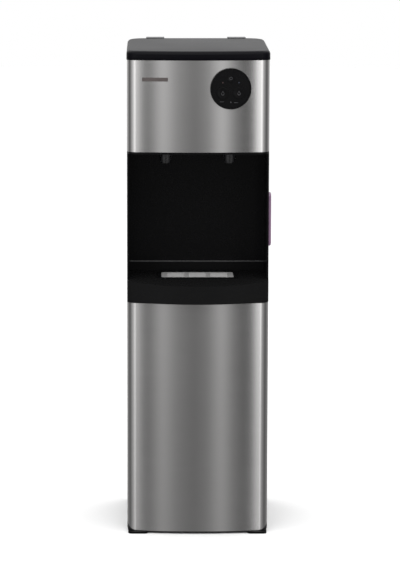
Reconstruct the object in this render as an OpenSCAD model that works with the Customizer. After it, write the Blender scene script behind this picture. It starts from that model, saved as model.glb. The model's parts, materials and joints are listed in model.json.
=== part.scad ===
// Floor-standing hot and cold water dispenser, loaded with its bottle from below.
// The origin is the middle of the footprint on the floor: +Z is up, the front faces -Y.

/* [Cabinet] */
// Width across the two side panels
body_w = 300; // [298:1:306]
// Distance from the origin forward to the middle of the steel front
front_reach = 160; // [158:1:164]
// Distance from the origin back to the rear flanges of the side panels
rear_reach = 150; // [150:1:154]
// Radius of the gentle bow of the front
bow_r = 850; // [700:10:1200]
// Radius of the vertical front corners
corner_r = 22; // [18:1:24]
// Thickness of the painted side sheets
sheet_t = 1.2; // [0.8:0.1:1.4]
// Thickness of the brushed steel skins
skin_t = 1; // [0.8:0.1:1]

/* [Heights] */
// Underside of the base pan
base_z = 2; // [2:0.5:2.5]
// Lower edge of the door
door_z0 = 5; // [5:0.5:6]
// Upper edge of the door
door_z1 = 498; // [492:1:498]
// Front lip of the tray housing
lip_z = 538; // [536:1:540]
// Deck that the drip tray sits in
deck_z = 546; // [544:1:548]
// Ceiling of the dispensing alcove
alcove_z1 = 818; // [800:1:830]
// Upper edge of the steel control panel, where the top cover begins
panel_z1 = 1012; // [1008:1:1016]
// Rear edge of the top cover
cover_z1 = 1042; // [1038:1:1046]
// How much the top of the cover falls towards the front
cover_fall = 11; // [8:0.5:12]

/* [Tray housing] */
// Distance from the origin forward to the middle of the bulging lip
chin_reach = 184; // [180:1:186]
// Radius of the bulging lip in plan
chin_bow_r = 320; // [310:5:360]
// Width of the steel drip grille
grille_w = 154; // [150:1:160]
// Depth of the steel drip grille, front to back
grille_d = 76; // [66:1:78]

/* [Controls] */
// Distance of the control pod from the centre line
pod_x = 67; // [64:1:72]
// Height of the middle of the control pod
pod_z = 953; // [945:1:958]
// Radius of the control pod
pod_r = 43; // [42:0.5:44]
// Travel of the push buttons
button_travel = 2.5; // [1.5:0.5:2.5]
// Distance of each spout from the centre line
spout_x = 68; // [60:1:74]

/* [Side light] */
// Height of the side light lens
lens_h = 115; // [105:1:125]
// Width of the side light lens, front to back
lens_w = 22; // [18:1:24]
// How far the side light stands proud of the side panel
lens_proud = 6; // [4:0.5:6]

/* [Door hinge] */
// Radius of the hinge pins
pin_r = 3; // [2.5:0.5:3]
// Radial running clearance of the hinge bores
pin_play = 0.05; // [0.03:0.01:0.08]

/* [Hidden] */
$fn = 64;

steel = "#a3a09c";
moulded_black = "#1a1a1c";
painted_black = "#242426";
cover_grey = "#5a5a5d";
lens_purple = "#6b3a6e";
copper = "#b87042";
galvanised = "#a9adb0";
foam_white = "#ecebe6";
board_green = "#2c6b45";
clear_hose = "#d7dcdd";

play = 0.2;                                  // assembly play between neighbouring shells
half_w = body_w / 2;
in_x = half_w - sheet_t - play;              // inner pieces stop here, inside the sheets
cab_y = -117.5;                              // front edge of the side panels
back_y = rear_reach - sheet_t - play;        // rear face of the back panel
back_t = 1.2;
chin_z0 = door_z1 + 2;
bay_floor_z = 14;
bay_top_z = 510;
bow_cy = bow_r - front_reach;                // centre of the front bow
hinge_x = half_w - 6;
hinge_y = -126;
knuckle_r = half_w - hinge_x;
door_rear_y = hinge_y + knuckle_r;
alcove_front_y = -125;
alcove_back_y = 5;
alcove_x = half_w - 4;                       // inner half width of the alcove
wall = 3;                                    // moulded wall thickness
slope_y = -136;                              // the deck starts to fall towards the lip here
spout_y = -80;
cover_tilt = cover_fall / (front_reach + rear_reach + 12);
lens_y = -101;
lens_z = 671.5;
lens_seat_x = half_w - 2.6;                   // floor of the side light's pocket in the alcove wall
tray_mid_y = -70;
tray_z0 = 518;
probe_at = [112, 122];
cold_at = [-72, 76];
hot_at = [72, 76];
hot_port = hot_at + [26, 20];                 // drain port in the floor of the hot tank
comp_at = [-78, 78];
comp_shelf_z = 514;                          // top of the compressor shelf
tank_shelf_z = 688;                          // top of the tank shelf
cold_r = 50;
hot_r = 45;
pipe_r = 2.5;
hose_r = 5;
coil_y = 164;
coil_half = 80;
coil_z = [90, 900];
drier_at = [-136, cold_at[1] + (cold_r + 3) * sin(135)];
drier_z = [568, 648];
vapour_at = [-116, 669];                     // hot gas pipe through the back, x and z
liquid_at = [-123, 552];                     // liquid pipe through the back, x and z
gland_at = [-122, 620];
drain_at = [128, 600];
pump_at = [80, 76];
inlet_z = 575;                               // height of the pump inlet
riser_at = [8, 76];                          // filling tube between the two tanks
rocker_z = 975;
rocker_x = [66, 90, 114];                    // hot, cold and light
rocker_tilt = 12;

// ---- shared shapes ----

function span(middle, half) = [middle - half, middle + half];

function arc_pts(c, r, a0, a1, n, skip_last = 0) =
    [for (i = [0 : n - skip_last]) let (a = a0 + (a1 - a0) * i / n) c + r * [cos(a), sin(a)]];

// Plan outline with a bowed front, filleted front corners and rounded rear corners, inset by d
function bowed_plan(w, reach, rear, bow, rf, rr, d) =
    let (
        hw = w / 2 - d,
        f = rf - d,
        q = max(rr - d, 1),
        cy = bow - reach,
        fx = hw - f,
        fy = cy - sqrt(pow(bow - d - f, 2) - pow(fx, 2)),
        a = asin(fx / (bow - d - f)),
        ry = rear - d
    )
    concat(
        arc_pts([0, cy], bow - d, 270 - a, 270 + a, 28, 1),
        arc_pts([fx, fy], f, 270 + a, 360, 8),
        arc_pts([hw - q, ry - q], q, 0, 90, 8),
        arc_pts([q - hw, ry - q], q, 90, 180, 8),
        arc_pts([-fx, fy], f, 180, 270 - a, 8, 1)
    );

function body_plan(d) = bowed_plan(body_w, front_reach, rear_reach, bow_r, corner_r, 4, d);
function chin_plan(d) = bowed_plan(body_w, chin_reach, rear_reach, chin_bow_r, corner_r, 4, d);
function cover_plan(d) =
    bowed_plan(body_w + 2, front_reach + 2, rear_reach + 10, bow_r, corner_r + 1, 40, d);

module slab(pts, z) translate([0, 0, z[0]]) linear_extrude(z[1] - z[0]) polygon(pts);

module box(x, y, z) translate([x[0], y[0], z[0]]) cube([x[1] - x[0], y[1] - y[0], z[1] - z[0]]);

module rod_x(yz, x, r) translate([x[0], yz[0], yz[1]]) rotate([0, 90, 0]) cylinder(h = x[1] - x[0], r = r);

module rod_y(xz, y, r) translate([xz[0], y[1], xz[1]]) rotate([90, 0, 0]) cylinder(h = y[1] - y[0], r = r);

module rod_z(xy, z, r) translate([xy[0], xy[1], z[0]]) cylinder(h = z[1] - z[0], r = r);

module both_sides() {
    children();
    mirror([1, 0, 0]) children();
}

// Upright block with rounded vertical edges
module round_block(x, y, z, r) {
    box([x[0] + r, x[1] - r], y, z);
    box(x, [y[0] + r, y[1] - r], z);
    for (px = [x[0] + r, x[1] - r])
        for (py = [y[0] + r, y[1] - r])
            rod_z([px, py], z, r);
}

function unit(v) = v / norm(v);

// Straight round run between two points
module run(a, b, r) {
    v = b - a;
    translate(a)
        rotate([0, acos(v[2] / norm(v)), atan2(v[1], v[0])])
            cylinder(h = norm(v), r = r);
}

// Quarter or smaller elbow at a corner: u and v are the directions before and after it
module elbow(corner, u, v, r, bend) {
    n = unit(v - (u * v) * u);
    angle = acos(u * v);
    axis = cross(u, n);
    c = corner - u * bend * tan(angle / 2) + n * bend;
    multmatrix([
        [-n[0], u[0], axis[0], c[0]],
        [-n[1], u[1], axis[1], c[1]],
        [-n[2], u[2], axis[2], c[2]],
        [0, 0, 0, 1]
    ])
        rotate_extrude(angle = angle) translate([bend, 0]) circle(r);
}

// Round pipe bent through a list of points
module pipe(points, r) {
    bend = 2.4 * r;
    last = len(points) - 1;
    dirs = [for (i = [0 : last - 1]) unit(points[i + 1] - points[i])];
    cut = [for (i = [0 : last])
        i == 0 || i == last ? 0 : bend * tan(acos(dirs[i - 1] * dirs[i]) / 2)];
    for (i = [0 : last - 1])
        run(points[i] + dirs[i] * cut[i], points[i + 1] - dirs[i] * cut[i + 1], r);
    for (i = [1 : last - 1])
        elbow(points[i], dirs[i - 1], dirs[i], r, bend);
}

// Upright slot with round ends, pushed through along X on the right-hand side
module side_slot(x, w, h) {
    translate([x[0], lens_y, lens_z])
        rotate([90, 0, 90])
            linear_extrude(x[1] - x[0]) {
                square([w, h - w], center = true);
                for (s = [-1, 1])
                    translate([0, s * (h - w) / 2]) circle(d = w);
            }
}

// Bowed skin of the front, wrapped round the corners as far as y_end
module front_shell(z, d0, d1, y_end) {
    intersection() {
        difference() {
            slab(body_plan(d0), z);
            slab(body_plan(d1), [z[0] - 1, z[1] + 1]);
        }
        box([-half_w - 1, half_w + 1], [-front_reach - 2, y_end], z);
    }
}

// ---- base ----

module base_pan() {
    ledge_t = 2.5;
    rib = 4;
    color(moulded_black)
    difference() {
        union() {
            slab(body_plan(1), [base_z, base_z + ledge_t]);
            intersection() {
                slab(body_plan(sheet_t + play), [base_z, bay_floor_z]);
                box([-half_w, half_w], [cab_y, back_y - back_t - play], [base_z, bay_floor_z]);
            }
        }
        both_sides()
            box([rib, in_x - rib], [cab_y + rib, 138], [base_z - 1, bay_floor_z - wall]);
        rod_z([hinge_x, hinge_y], [base_z + 0.5, base_z + ledge_t + 1], pin_r);
    }
}

module front_feet() {
    foot_x = [half_w - 44, half_w - 2];
    foot_y = [-158, -121];
    color(moulded_black)
    both_sides()
        difference() {
            round_block(foot_x, foot_y, [0, door_z0 - 1], 8);
            slab(body_plan(1), [base_z, door_z0]);
        }
}

module rear_feet() {
    color(moulded_black)
    both_sides() {
        rod_z([115, 118], [0, base_z], 16);
        rod_z([115, 118], [base_z, bay_floor_z - wall], 4);
    }
}

// ---- cabinet ----

module side_sheet() {
    flange = 14;
    box([half_w - sheet_t, half_w], [cab_y, rear_reach], [door_z0, panel_z1]);
    box([half_w - flange, half_w], [rear_reach - sheet_t, rear_reach], [door_z0, panel_z1]);
}

module side_panel_left() {
    color(painted_black)
    mirror([1, 0, 0]) side_sheet();
}

module side_panel_right() {
    color(painted_black)
    difference() {
        side_sheet();
        side_slot([half_w - 2 * sheet_t, half_w + 1], lens_w - 4.6, lens_h - 4.6);
    }
}

// Bottle bay: floor, walls, rear wall and ceiling with a flange round its mouth
module bay_liner() {
    t = 2;
    liner_x = 141;
    beam_z = 490;
    color(moulded_black)
    difference() {
        union() {
            box([-liner_x, liner_x], [cab_y + 6, back_y - back_t - play], [bay_floor_z, bay_top_z]);
            box([-in_x, in_x], [cab_y + play, cab_y + t], [bay_floor_z, chin_z0 - 1]);
            box([-liner_x, liner_x], [cab_y + play, cab_y + 10], [bay_floor_z, chin_z0 - 1]);
        }
        box([t - liner_x, liner_x - t], [cab_y - 1, back_y - back_t - play - t],
            [bay_floor_z + t, beam_z]);
        box([t - liner_x, liner_x - t], [cab_y + 10, back_y - back_t - play - t],
            [beam_z - 1, bay_top_z - t]);
        box([-121, -83], [cab_y - 1, cab_y + 8], [beam_z + 1, chin_z0 - 2]);
        rod_z(probe_at, [bay_top_z - t - 1, bay_top_z + 1], hose_r + play);
    }
}

module compressor_shelf() {
    t = 2;
    lip = 16;
    color(galvanised)
    difference() {
        union() {
            box([-in_x + play, in_x - play], [alcove_back_y + 6, back_y - back_t - play],
                [comp_shelf_z - t, comp_shelf_z]);
            both_sides()
                box([in_x - play - t, in_x - play], [alcove_back_y + 6, back_y - back_t - play],
                    [comp_shelf_z - t, comp_shelf_z + lip]);
        }
        rod_z(probe_at, [comp_shelf_z - t - 1, comp_shelf_z + 1], hose_r + play);
    }
}

module tank_shelf() {
    t = 2;
    lip = 16;
    hole_r = 6;
    color(galvanised)
    difference() {
        union() {
            box([-in_x + play, in_x - play], [alcove_back_y + 6, back_y - back_t - play],
                [tank_shelf_z - t, tank_shelf_z]);
            both_sides()
                box([in_x - play - t, in_x - play], [alcove_back_y + 6, back_y - back_t - play],
                    [tank_shelf_z - t - lip, tank_shelf_z]);
        }
        for (p = [hot_port, riser_at, for (a = header_angles) evaporator_header(a)])
            rod_z(p, [tank_shelf_z - t - 1, tank_shelf_z + 1], hole_r);
    }
}

// Back sheet with its vents and the holes for pipes, gland, drain and switches
module back_panel() {
    slot_h = 5;
    slot_pitch = 13;
    y = [back_y - back_t, back_y];
    color(painted_black)
    difference() {
        box([-in_x + 0.6, in_x - 0.6], y, [door_z0 + 0.5, panel_z1 - 1]);
        for (i = [0 : 9])
            for (x = [-100, -20])
                box([x, x + 68], [y[0] - 1, y[1] + 1],
                    [530 + i * slot_pitch, 530 + i * slot_pitch + slot_h]);
        for (i = [0 : 3])
            box([-110, 20], [y[0] - 1, y[1] + 1],
                [950 + i * slot_pitch, 950 + i * slot_pitch + slot_h]);
        rod_y(vapour_at, [y[0] - 1, y[1] + 1], 4);
        rod_y(liquid_at, [y[0] - 1, y[1] + 1], 4);
        rod_y(gland_at, [y[0] - 1, y[1] + 1], 8);
        rod_y(drain_at, [y[0] - 1, y[1] + 1], 6.5);
        box([rocker_x[0] - 14, rocker_x[2] + 14], [y[0] - 1, y[1] + 1],
            span(rocker_z, 14));
    }
}

module back_screws() {
    color(galvanised)
    for (z = [60, 300, 540, 780, 1000])
        both_sides() {
            rod_y([half_w - 8, z], [rear_reach, rear_reach + 2], 3.5);
            rod_y([half_w - 8, z], [rear_reach, rear_reach + 2.4], 1.2);
        }
}

// ---- top ----

// Thin slice of the cover's outline, tilted with its sloping top; z is its height over the origin
module cover_slice(inset, z)
    multmatrix([[1, 0, 0, 0], [0, 1, 0, 0], [0, cover_tilt, 1, 0], [0, 0, 0, 1]])
        slab(cover_plan(inset), [z - 0.01, z]);

module top_cover() {
    edge_r = 5;
    crown = 0.8;
    steps = 3;
    skirt = 6;
    top = cover_z1 - 0.1 - cover_tilt * (rear_reach + 10 - edge_r);
    color(cover_grey)
    difference() {
        union() {
            hull() {
                slab(cover_plan(0), [panel_z1, panel_z1 + skirt]);
                cover_slice(0, top - edge_r);
            }
            for (i = [0 : steps - 1])
                hull()
                    for (a = [i, i + 1] * 90 / steps)
                        cover_slice(edge_r * (1 - cos(a)), top - edge_r + edge_r * sin(a));
            hull() {
                cover_slice(edge_r, top);
                cover_slice(70, top + crown);
            }
        }
        hull() {
            slab(cover_plan(wall), [panel_z1 - 1, panel_z1 + skirt]);
            cover_slice(wall + 2, top - wall - 0.5);
        }
    }
}

module wall_spacers() {
    spacer_x = 90;
    spacer_w = 40;
    top_z = cover_z1 + 1.5;
    x = [spacer_x - spacer_w / 2, spacer_x + spacer_w / 2];
    rear = rear_reach + 10;
    color(painted_black)
    both_sides() {
        difference() {
            box(x, [rear + play, rear + 20], [panel_z1 + 3, top_z]);
            box([x[0] + wall, x[1] - wall], [rear - 1, rear + 20 - wall], [panel_z1, top_z - wall]);
        }
        box(x, [rear - 12, rear + 1], [cover_z1, top_z]);
    }
}

// ---- alcove ----

module alcove_housing() {
    ceiling_t = 3.5;
    color(moulded_black)
    difference() {
        union() {
            intersection() {
                slab(body_plan(sheet_t + play), [alcove_z1 - ceiling_t, alcove_z1]);
                box([-half_w, half_w], [-front_reach, alcove_back_y + wall], [deck_z, alcove_z1]);
            }
            both_sides() {
                box([alcove_x, in_x], [alcove_front_y, alcove_back_y + wall],
                    [deck_z, alcove_z1 - ceiling_t / 2]);
                box([alcove_x, half_w], [alcove_front_y, cab_y - 0.5], [deck_z, alcove_z1]);
            }
            box([-in_x, in_x], [alcove_back_y, alcove_back_y + wall], [deck_z, alcove_z1 - 1]);
        }
        both_sides()
            rod_z([spout_x, spout_y], [alcove_z1 - ceiling_t - 1, alcove_z1 + 1], 8);
        side_slot([lens_seat_x, half_w + 1], lens_w - 4.6, lens_h - 4.6);
    }
}

// Tray housing: bulging lip, deck, pocket for the tray and a low upstand behind
module tray_housing() {
    lip_fall = atan((deck_z - lip_z) / (slope_y + chin_reach));
    pocket_x = grille_w / 2 + 2.5;
    pocket_y = grille_d / 2 + 2.5;
    rim = 8;
    upstand = 21;
    color(moulded_black)
    difference() {
        union() {
            difference() {
                intersection() {
                    slab(chin_plan(0), [chin_z0, deck_z]);
                    box([-half_w, half_w], [-chin_reach - 1, cab_y - 0.5], [chin_z0, deck_z]);
                }
                intersection() {
                    slab(chin_plan(wall), [chin_z0 - 1, lip_z - 5]);
                    box([16 - half_w, half_w - 16], [-chin_reach, cab_y - 4], [chin_z0 - 1, lip_z]);
                }
            }
            box([-in_x, in_x], [cab_y - 1, alcove_back_y + wall], [deck_z - 4, deck_z]);
            round_block([-pocket_x - 2, pocket_x + 2],
                [tray_mid_y - pocket_y - 2, tray_mid_y + pocket_y + 2], [tray_z0 - 4, deck_z], 10);
            box([play - alcove_x, alcove_x - play], [1, alcove_back_y], [deck_z, deck_z + upstand]);
        }
        round_block([-pocket_x, pocket_x], [tray_mid_y - pocket_y, tray_mid_y + pocket_y],
            [tray_z0 - 2, deck_z + 1], 8);
        round_block([-pocket_x - rim, pocket_x + rim],
            [tray_mid_y - pocket_y - rim, tray_mid_y + pocket_y + rim], [deck_z - 3, deck_z + 1], 13);
        translate([-half_w - 1, slope_y, deck_z])
            rotate([lip_fall, 0, 0])
                box([0, body_w + 2], [-80, 0], [0, 30]);
        rod_z([hinge_x, hinge_y], [chin_z0 - 1, chin_z0 + 12], pin_r);
    }
}

module drip_tray() {
    inner_x = grille_w / 2 - 2.5;
    inner_y = grille_d / 2 - 2.5;
    rim = 8;
    color(moulded_black)
    difference() {
        union() {
            round_block([-inner_x - 4, inner_x + 4],
                [tray_mid_y - inner_y - 4, tray_mid_y + inner_y + 4], [tray_z0, deck_z], 7);
            round_block([-inner_x - 4 - rim, inner_x + 4 + rim],
                [tray_mid_y - inner_y - 4 - rim, tray_mid_y + inner_y + 4 + rim],
                [deck_z - 3, deck_z + 1], 12);
        }
        round_block([-inner_x, inner_x], [tray_mid_y - inner_y, tray_mid_y + inner_y],
            [tray_z0 + 2, deck_z + 2], 6);
        round_block([-inner_x - 2.8, inner_x + 2.8],
            [tray_mid_y - inner_y - 2.8, tray_mid_y + inner_y + 2.8], [deck_z - 2, deck_z + 2], 8);
    }
}

// Pressed steel grille: three columns of long slots across it and a folded edge
module drip_grille() {
    slot_w = 3;
    slot_l = 38;
    rows = 9;
    row_pitch = 6.4;
    column_pitch = 46;
    x = [-grille_w / 2, grille_w / 2];
    y = [tray_mid_y - grille_d / 2, tray_mid_y + grille_d / 2];
    color(steel)
    difference() {
        round_block(x, y, [deck_z - 2, deck_z + 0.4], 8);
        round_block([x[0] + 1, x[1] - 1], [y[0] + 1, y[1] - 1], [deck_z - 3, deck_z - 0.8], 7);
        translate([0, 0, deck_z - 2])
            linear_extrude(4)
                for (column = [-1 : 1])
                    for (i = [0 : rows - 1])
                        translate([column * column_pitch, tray_mid_y + (i - (rows - 1) / 2) * row_pitch]) {
                            square([slot_l - slot_w, slot_w], center = true);
                            for (side = [-1, 1])
                                translate([side * (slot_l - slot_w) / 2, 0]) circle(d = slot_w, $fn = 24);
                        }
    }
}

// ---- door ----

module door_skin() {
    round_r = 20;
    z = [door_z0, door_z1];
    color(steel)
    difference() {
        front_shell(z, 0, skin_t, hinge_y);
        both_sides()
            difference() {
                box([half_w - round_r, half_w + 1], [-front_reach, 0], [z[0] - 1, z[0] + round_r]);
                rod_y([half_w - round_r, z[0] + round_r], [-front_reach - 1, 1], round_r);
            }
    }
}

// Moulded inner door: dished behind, solid at the hinge side, round along its rear edges
module door_liner() {
    z = [door_z0, door_z1];
    frame = 18;
    color(moulded_black)
    difference() {
        union() {
            intersection() {
                slab(body_plan(skin_t + 0.1), z);
                box([-half_w, half_w], [-front_reach, hinge_y], z);
            }
            box([-hinge_x, hinge_x], [hinge_y - 1, door_rear_y], z);
            both_sides()
                intersection() {
                    rod_z([hinge_x, hinge_y], z, knuckle_r);
                    box([hinge_x - 1, half_w], [hinge_y, door_rear_y], z);
                }
        }
        intersection() {
            slab(body_plan(6), [z[0] + frame, z[1] - frame]);
            box([10 - half_w, half_w - 26], [-front_reach, door_rear_y + 1], z);
        }
        rod_z([hinge_x, hinge_y], [z[0] - 1, z[0] + frame], pin_r + pin_play);
        rod_z([hinge_x, hinge_y], [z[1] - frame, z[1] + 1], pin_r + pin_play);
        box([-half_w - 1, 7 - half_w], [door_rear_y - 5, door_rear_y + 1], [300, 420]);
    }
}

module door_hinge_pins() {
    color(galvanised) {
        rod_z([hinge_x, hinge_y], [base_z + 0.5, door_z0 + 16], pin_r);
        rod_z([hinge_x, hinge_y], [door_z1 - 16, chin_z0 + 12], pin_r);
    }
}

module door_magnet() {
    color(galvanised)
    box([-120, -84], [cab_y - 0.7, cab_y + 7], [491.5, 497.5]);
}

module door_strike() {
    color(galvanised)
    box([-122, -82], [door_rear_y, door_rear_y + 1.2], [486, 497]);
}

// ---- control panel ----

// Frame of the pod: its +Y axis points into the cabinet, square to the bowed panel
pod_tilt = asin(pod_x / bow_r);
pod_y = bow_cy - bow_r * cos(pod_tilt);
module pod_frame() translate([pod_x, pod_y, pod_z]) rotate([0, 0, pod_tilt]) children();

hot_button = [-17, -9, 12.5];                // x, z and radius in the pod's frame
cold_button = [17, -9, 12.5];
lock_button = [0, 22, 8];
buttons = [hot_button, cold_button, lock_button];
face_y = -5;                                 // front face of the pod
face_t = 3;
board_y = 9.4;
switch_h = 2.3;

module upper_front_panel() {
    color(steel)
    difference() {
        front_shell([alcove_z1 + 1, panel_z1], 0, skin_t, cab_y - 0.5);
        pod_frame() rod_y([0, 0], [-20, 20], pod_r + 0.2);
    }
}

module panel_backing() {
    color(moulded_black)
    difference() {
        front_shell([alcove_z1 + 1, panel_z1 - 1], skin_t + 0.3, skin_t + 0.3 + 2.5, cab_y + 12);
        pod_frame() rod_y([0, 0], [-20, 20], pod_r + 0.5);
    }
}

module name_badge() {
    badge_t = 0.8;
    badge_x = [-118, -64];
    badge_z = [968, 976];
    color(steel)
    intersection() {
        difference() {
            slab(body_plan(-badge_t), badge_z);
            slab(body_plan(0), [badge_z[0] - 1, badge_z[1] + 1]);
        }
        box(badge_x, [-front_reach - 2, -100], badge_z);
    }
}

module control_pod() {
    barrel_y = 14;
    color(moulded_black)
    pod_frame()
        difference() {
            union() {
                difference() {
                    rod_y([0, 0], [face_y, barrel_y], pod_r);
                    rod_y([0, 0], [face_y + face_t, barrel_y + 1], pod_r - wall);
                }
                difference() {
                    rod_y([0, 0], [face_y - 1.5, face_y + 1], pod_r);
                    rod_y([0, 0], [face_y - 2, face_y + 2], pod_r - 2.5);
                }
                for (a = [30, 150, 270])
                    rod_y(35 * [cos(a), sin(a)], [face_y + 1, board_y], 3);
            }
            for (b = buttons)
                rod_y([b[0], b[1]], [face_y - 1, face_y + face_t + 1], b[2] + 0.35);
        }
}

// Cap, retaining flange and stem of one push button
module push_button(b) {
    flange_y = face_y + face_t + 0.4;
    pod_frame() {
        rod_y([b[0], b[1]], [face_y - 1.2, flange_y + 1], b[2]);
        rod_y([b[0], b[1]], [flange_y, flange_y + 2], b[2] + 1.4);
        rod_y([b[0], b[1]], [flange_y + 1, board_y - switch_h - button_travel - 0.1], 2);
    }
}

module button_hot() { color(moulded_black) push_button(hot_button); }
module button_cold() { color(moulded_black) push_button(cold_button); }
module button_lock() { color(moulded_black) push_button(lock_button); }

module control_board() {
    color(board_green)
    pod_frame() {
        rod_y([0, 0], [board_y, board_y + 1.6], 39);
        for (b = buttons)
            box([b[0] - 3, b[0] + 3], [board_y - switch_h, board_y + 0.5], [b[1] - 3, b[1] + 3]);
        box([-14, 14], [board_y + 1, board_y + 9], [-30, -22]);
    }
}

// ---- dispensing ----

// Turned spout hanging from the alcove ceiling, with a bore right through
module spout(x) {
    ceiling = alcove_z1 - 3.5;
    bore = 4.5;
    tip = ceiling - 26;
    translate([x, spout_y, 0])
        rotate_extrude()
            polygon([
                [bore, tip], [10, tip], [11.5, tip + 1.5], [13, tip + 12],
                [13.5, ceiling - 6], [19, ceiling - 3.5], [19, ceiling],
                [7.9, ceiling], [7.9, alcove_z1 + 14], [bore, alcove_z1 + 14]
            ]);
}

module spout_hot() { color(moulded_black) spout(-spout_x); }
module spout_cold() { color(moulded_black) spout(spout_x); }

// Solenoid valve above a spout: body, coil and inlet stub
module valve(x) {
    z0 = alcove_z1 + 14;
    box([x - 17, x + 17], [spout_y - 20, spout_y + 20], [z0, z0 + 22]);
    rod_z([x, spout_y], [z0 + 22, z0 + 52], 13);
    rod_y([x, z0 + 11], [spout_y + 20, spout_y + 34], 6);
}

module valve_hot() { color(foam_white) valve(-spout_x); }
module valve_cold() { color(foam_white) valve(spout_x); }

// ---- side light ----

module side_light_lens() {
    color(lens_purple)
    difference() {
        union() {
            side_slot([half_w, half_w + lens_proud - 1.5], lens_w, lens_h);
            side_slot([half_w, half_w + lens_proud], lens_w - 3, lens_h - 3);
            side_slot([lens_seat_x, half_w + 1], lens_w - 5, lens_h - 5);
        }
        side_slot([lens_seat_x - 1, half_w + lens_proud - 3], lens_w - 10, lens_h - 10);
    }
}

module side_light_board() {
    leds = 5;
    x = [lens_seat_x, half_w - 1];
    color(board_green) {
        side_slot(x, lens_w - 11, lens_h - 11);
        for (i = [0 : leds - 1])
            box([x[1], x[1] + 1], span(lens_y, 1.75),
                span(lens_z + (i - (leds - 1) / 2) * 20, 1.75));
    }
}

// ---- refrigeration ----

function coil_row(i, rows) = coil_z[1] - (coil_z[1] - coil_z[0]) * i / (rows - 1);

// Wire-on-tube condenser: a serpentine tube with upright wires welded behind it
module condenser() {
    rows = 16;
    wires = 19;
    wire_pitch = 8.8;
    bend_r = (coil_z[1] - coil_z[0]) / (rows - 1) / 2;
    color(painted_black) {
        for (i = [0 : rows - 1])
            rod_x([coil_y, coil_row(i, rows)], [-coil_half, coil_half], pipe_r);
        for (i = [0 : rows - 2]) {
            side = i % 2 == 0 ? 1 : -1;
            translate([side * coil_half, coil_y, coil_row(i, rows) - bend_r])
                rotate([90, 0, 0])
                    rotate([0, 0, -90 * side])
                        rotate_extrude(angle = 180) translate([bend_r, 0]) circle(pipe_r);
        }
        for (i = [0 : wires - 1])
            rod_z([(i - (wires - 1) / 2) * wire_pitch, coil_y + pipe_r + 0.5],
                [coil_z[0] - 8, coil_z[1] + 8], 0.8);
    }
}

module condenser_brackets() {
    color(painted_black)
    for (z = [coil_row(2, 16), coil_row(13, 16)])
        both_sides()
            difference() {
                box([62, 74], [back_y, coil_y + 1], [z - 6, z + 6]);
                rod_x([coil_y, z], [61, 75], pipe_r);
                box([61, 75], [back_y + 1.2, coil_y - 3.6], [z - 7, z + 4.8]);
            }
}

module compressor() {
    r = 56;
    z0 = comp_shelf_z + 8;
    band_z = z0 + 78;
    top_z = z0 + 140;
    sockets = [[-60, 60], [-52, 92]];
    dome = [for (i = [0 : 8]) [r * cos(i * 11.25), top_z - 34 + 34 * sin(i * 11.25)]];
    color(painted_black) {
        difference() {
            box([comp_at[0] - 62, comp_at[0] + 62], [comp_at[1] - 50, comp_at[1] + 50], [z0, z0 + 3]);
            for (sx = [-1, 1])
                for (sy = [-1, 1])
                    rod_z(comp_at + [54 * sx, 42 * sy], [z0 - 1, z0 + 4], 5);
        }
        translate([comp_at[0], comp_at[1], 0])
            rotate_extrude()
                polygon(concat(
                    [[0, z0 + 2], [38, z0 + 2], [50, z0 + 12], [r - 1.5, z0 + 26],
                     [r - 1.5, band_z - 4], [r + 1, band_z - 4], [r + 1, band_z], [r, band_z]],
                    dome
                ));
        box([comp_at[0] + 48, comp_at[0] + 70], [comp_at[1] - 18, comp_at[1] + 18], [z0 + 44, z0 + 74]);
        for (p = sockets)
            rod_z(p, [top_z - 14, top_z], 4.5);
    }
}

module compressor_grommets() {
    z0 = comp_shelf_z;
    color(moulded_black)
    for (sx = [-1, 1])
        for (sy = [-1, 1]) {
            p = comp_at + [54 * sx, 42 * sy];
            rod_z(p, [z0, z0 + 8], 8.5);
            rod_z(p, [z0 + 8, z0 + 11], 5);
            rod_z(p, [z0 + 11, z0 + 14], 7);
        }
}

module filter_drier() {
    z = drier_z;
    color(copper)
    translate([drier_at[0], drier_at[1], 0])
        rotate_extrude()
            polygon([[0, z[0] - 8], [4, z[0] - 8], [9, z[0] + 4],
                [9, z[1] - 4], [4, z[1] + 8], [0, z[1] + 8]]);
}

// Upright header that joins the rings of the evaporator at an angle round the cold tank
function evaporator_header(a) = cold_at + (cold_r + 3) * [cos(a), sin(a)];
header_angles = [135, -45];
header_z0 = tank_shelf_z + 10;

// Ring coil round the cold tank with its two headers
module evaporator_coil() {
    rings = 7;
    pitch = 26;
    ring_z0 = header_z0 + 20;
    color(copper) {
        for (i = [0 : rings - 1])
            translate([cold_at[0], cold_at[1], ring_z0 + i * pitch])
                rotate_extrude() translate([cold_r + 3, 0]) circle(pipe_r);
        for (a = header_angles)
            rod_z(evaporator_header(a), [header_z0, ring_z0 + (rings - 1) * pitch + 4], pipe_r + 0.4);
    }
}

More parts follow.
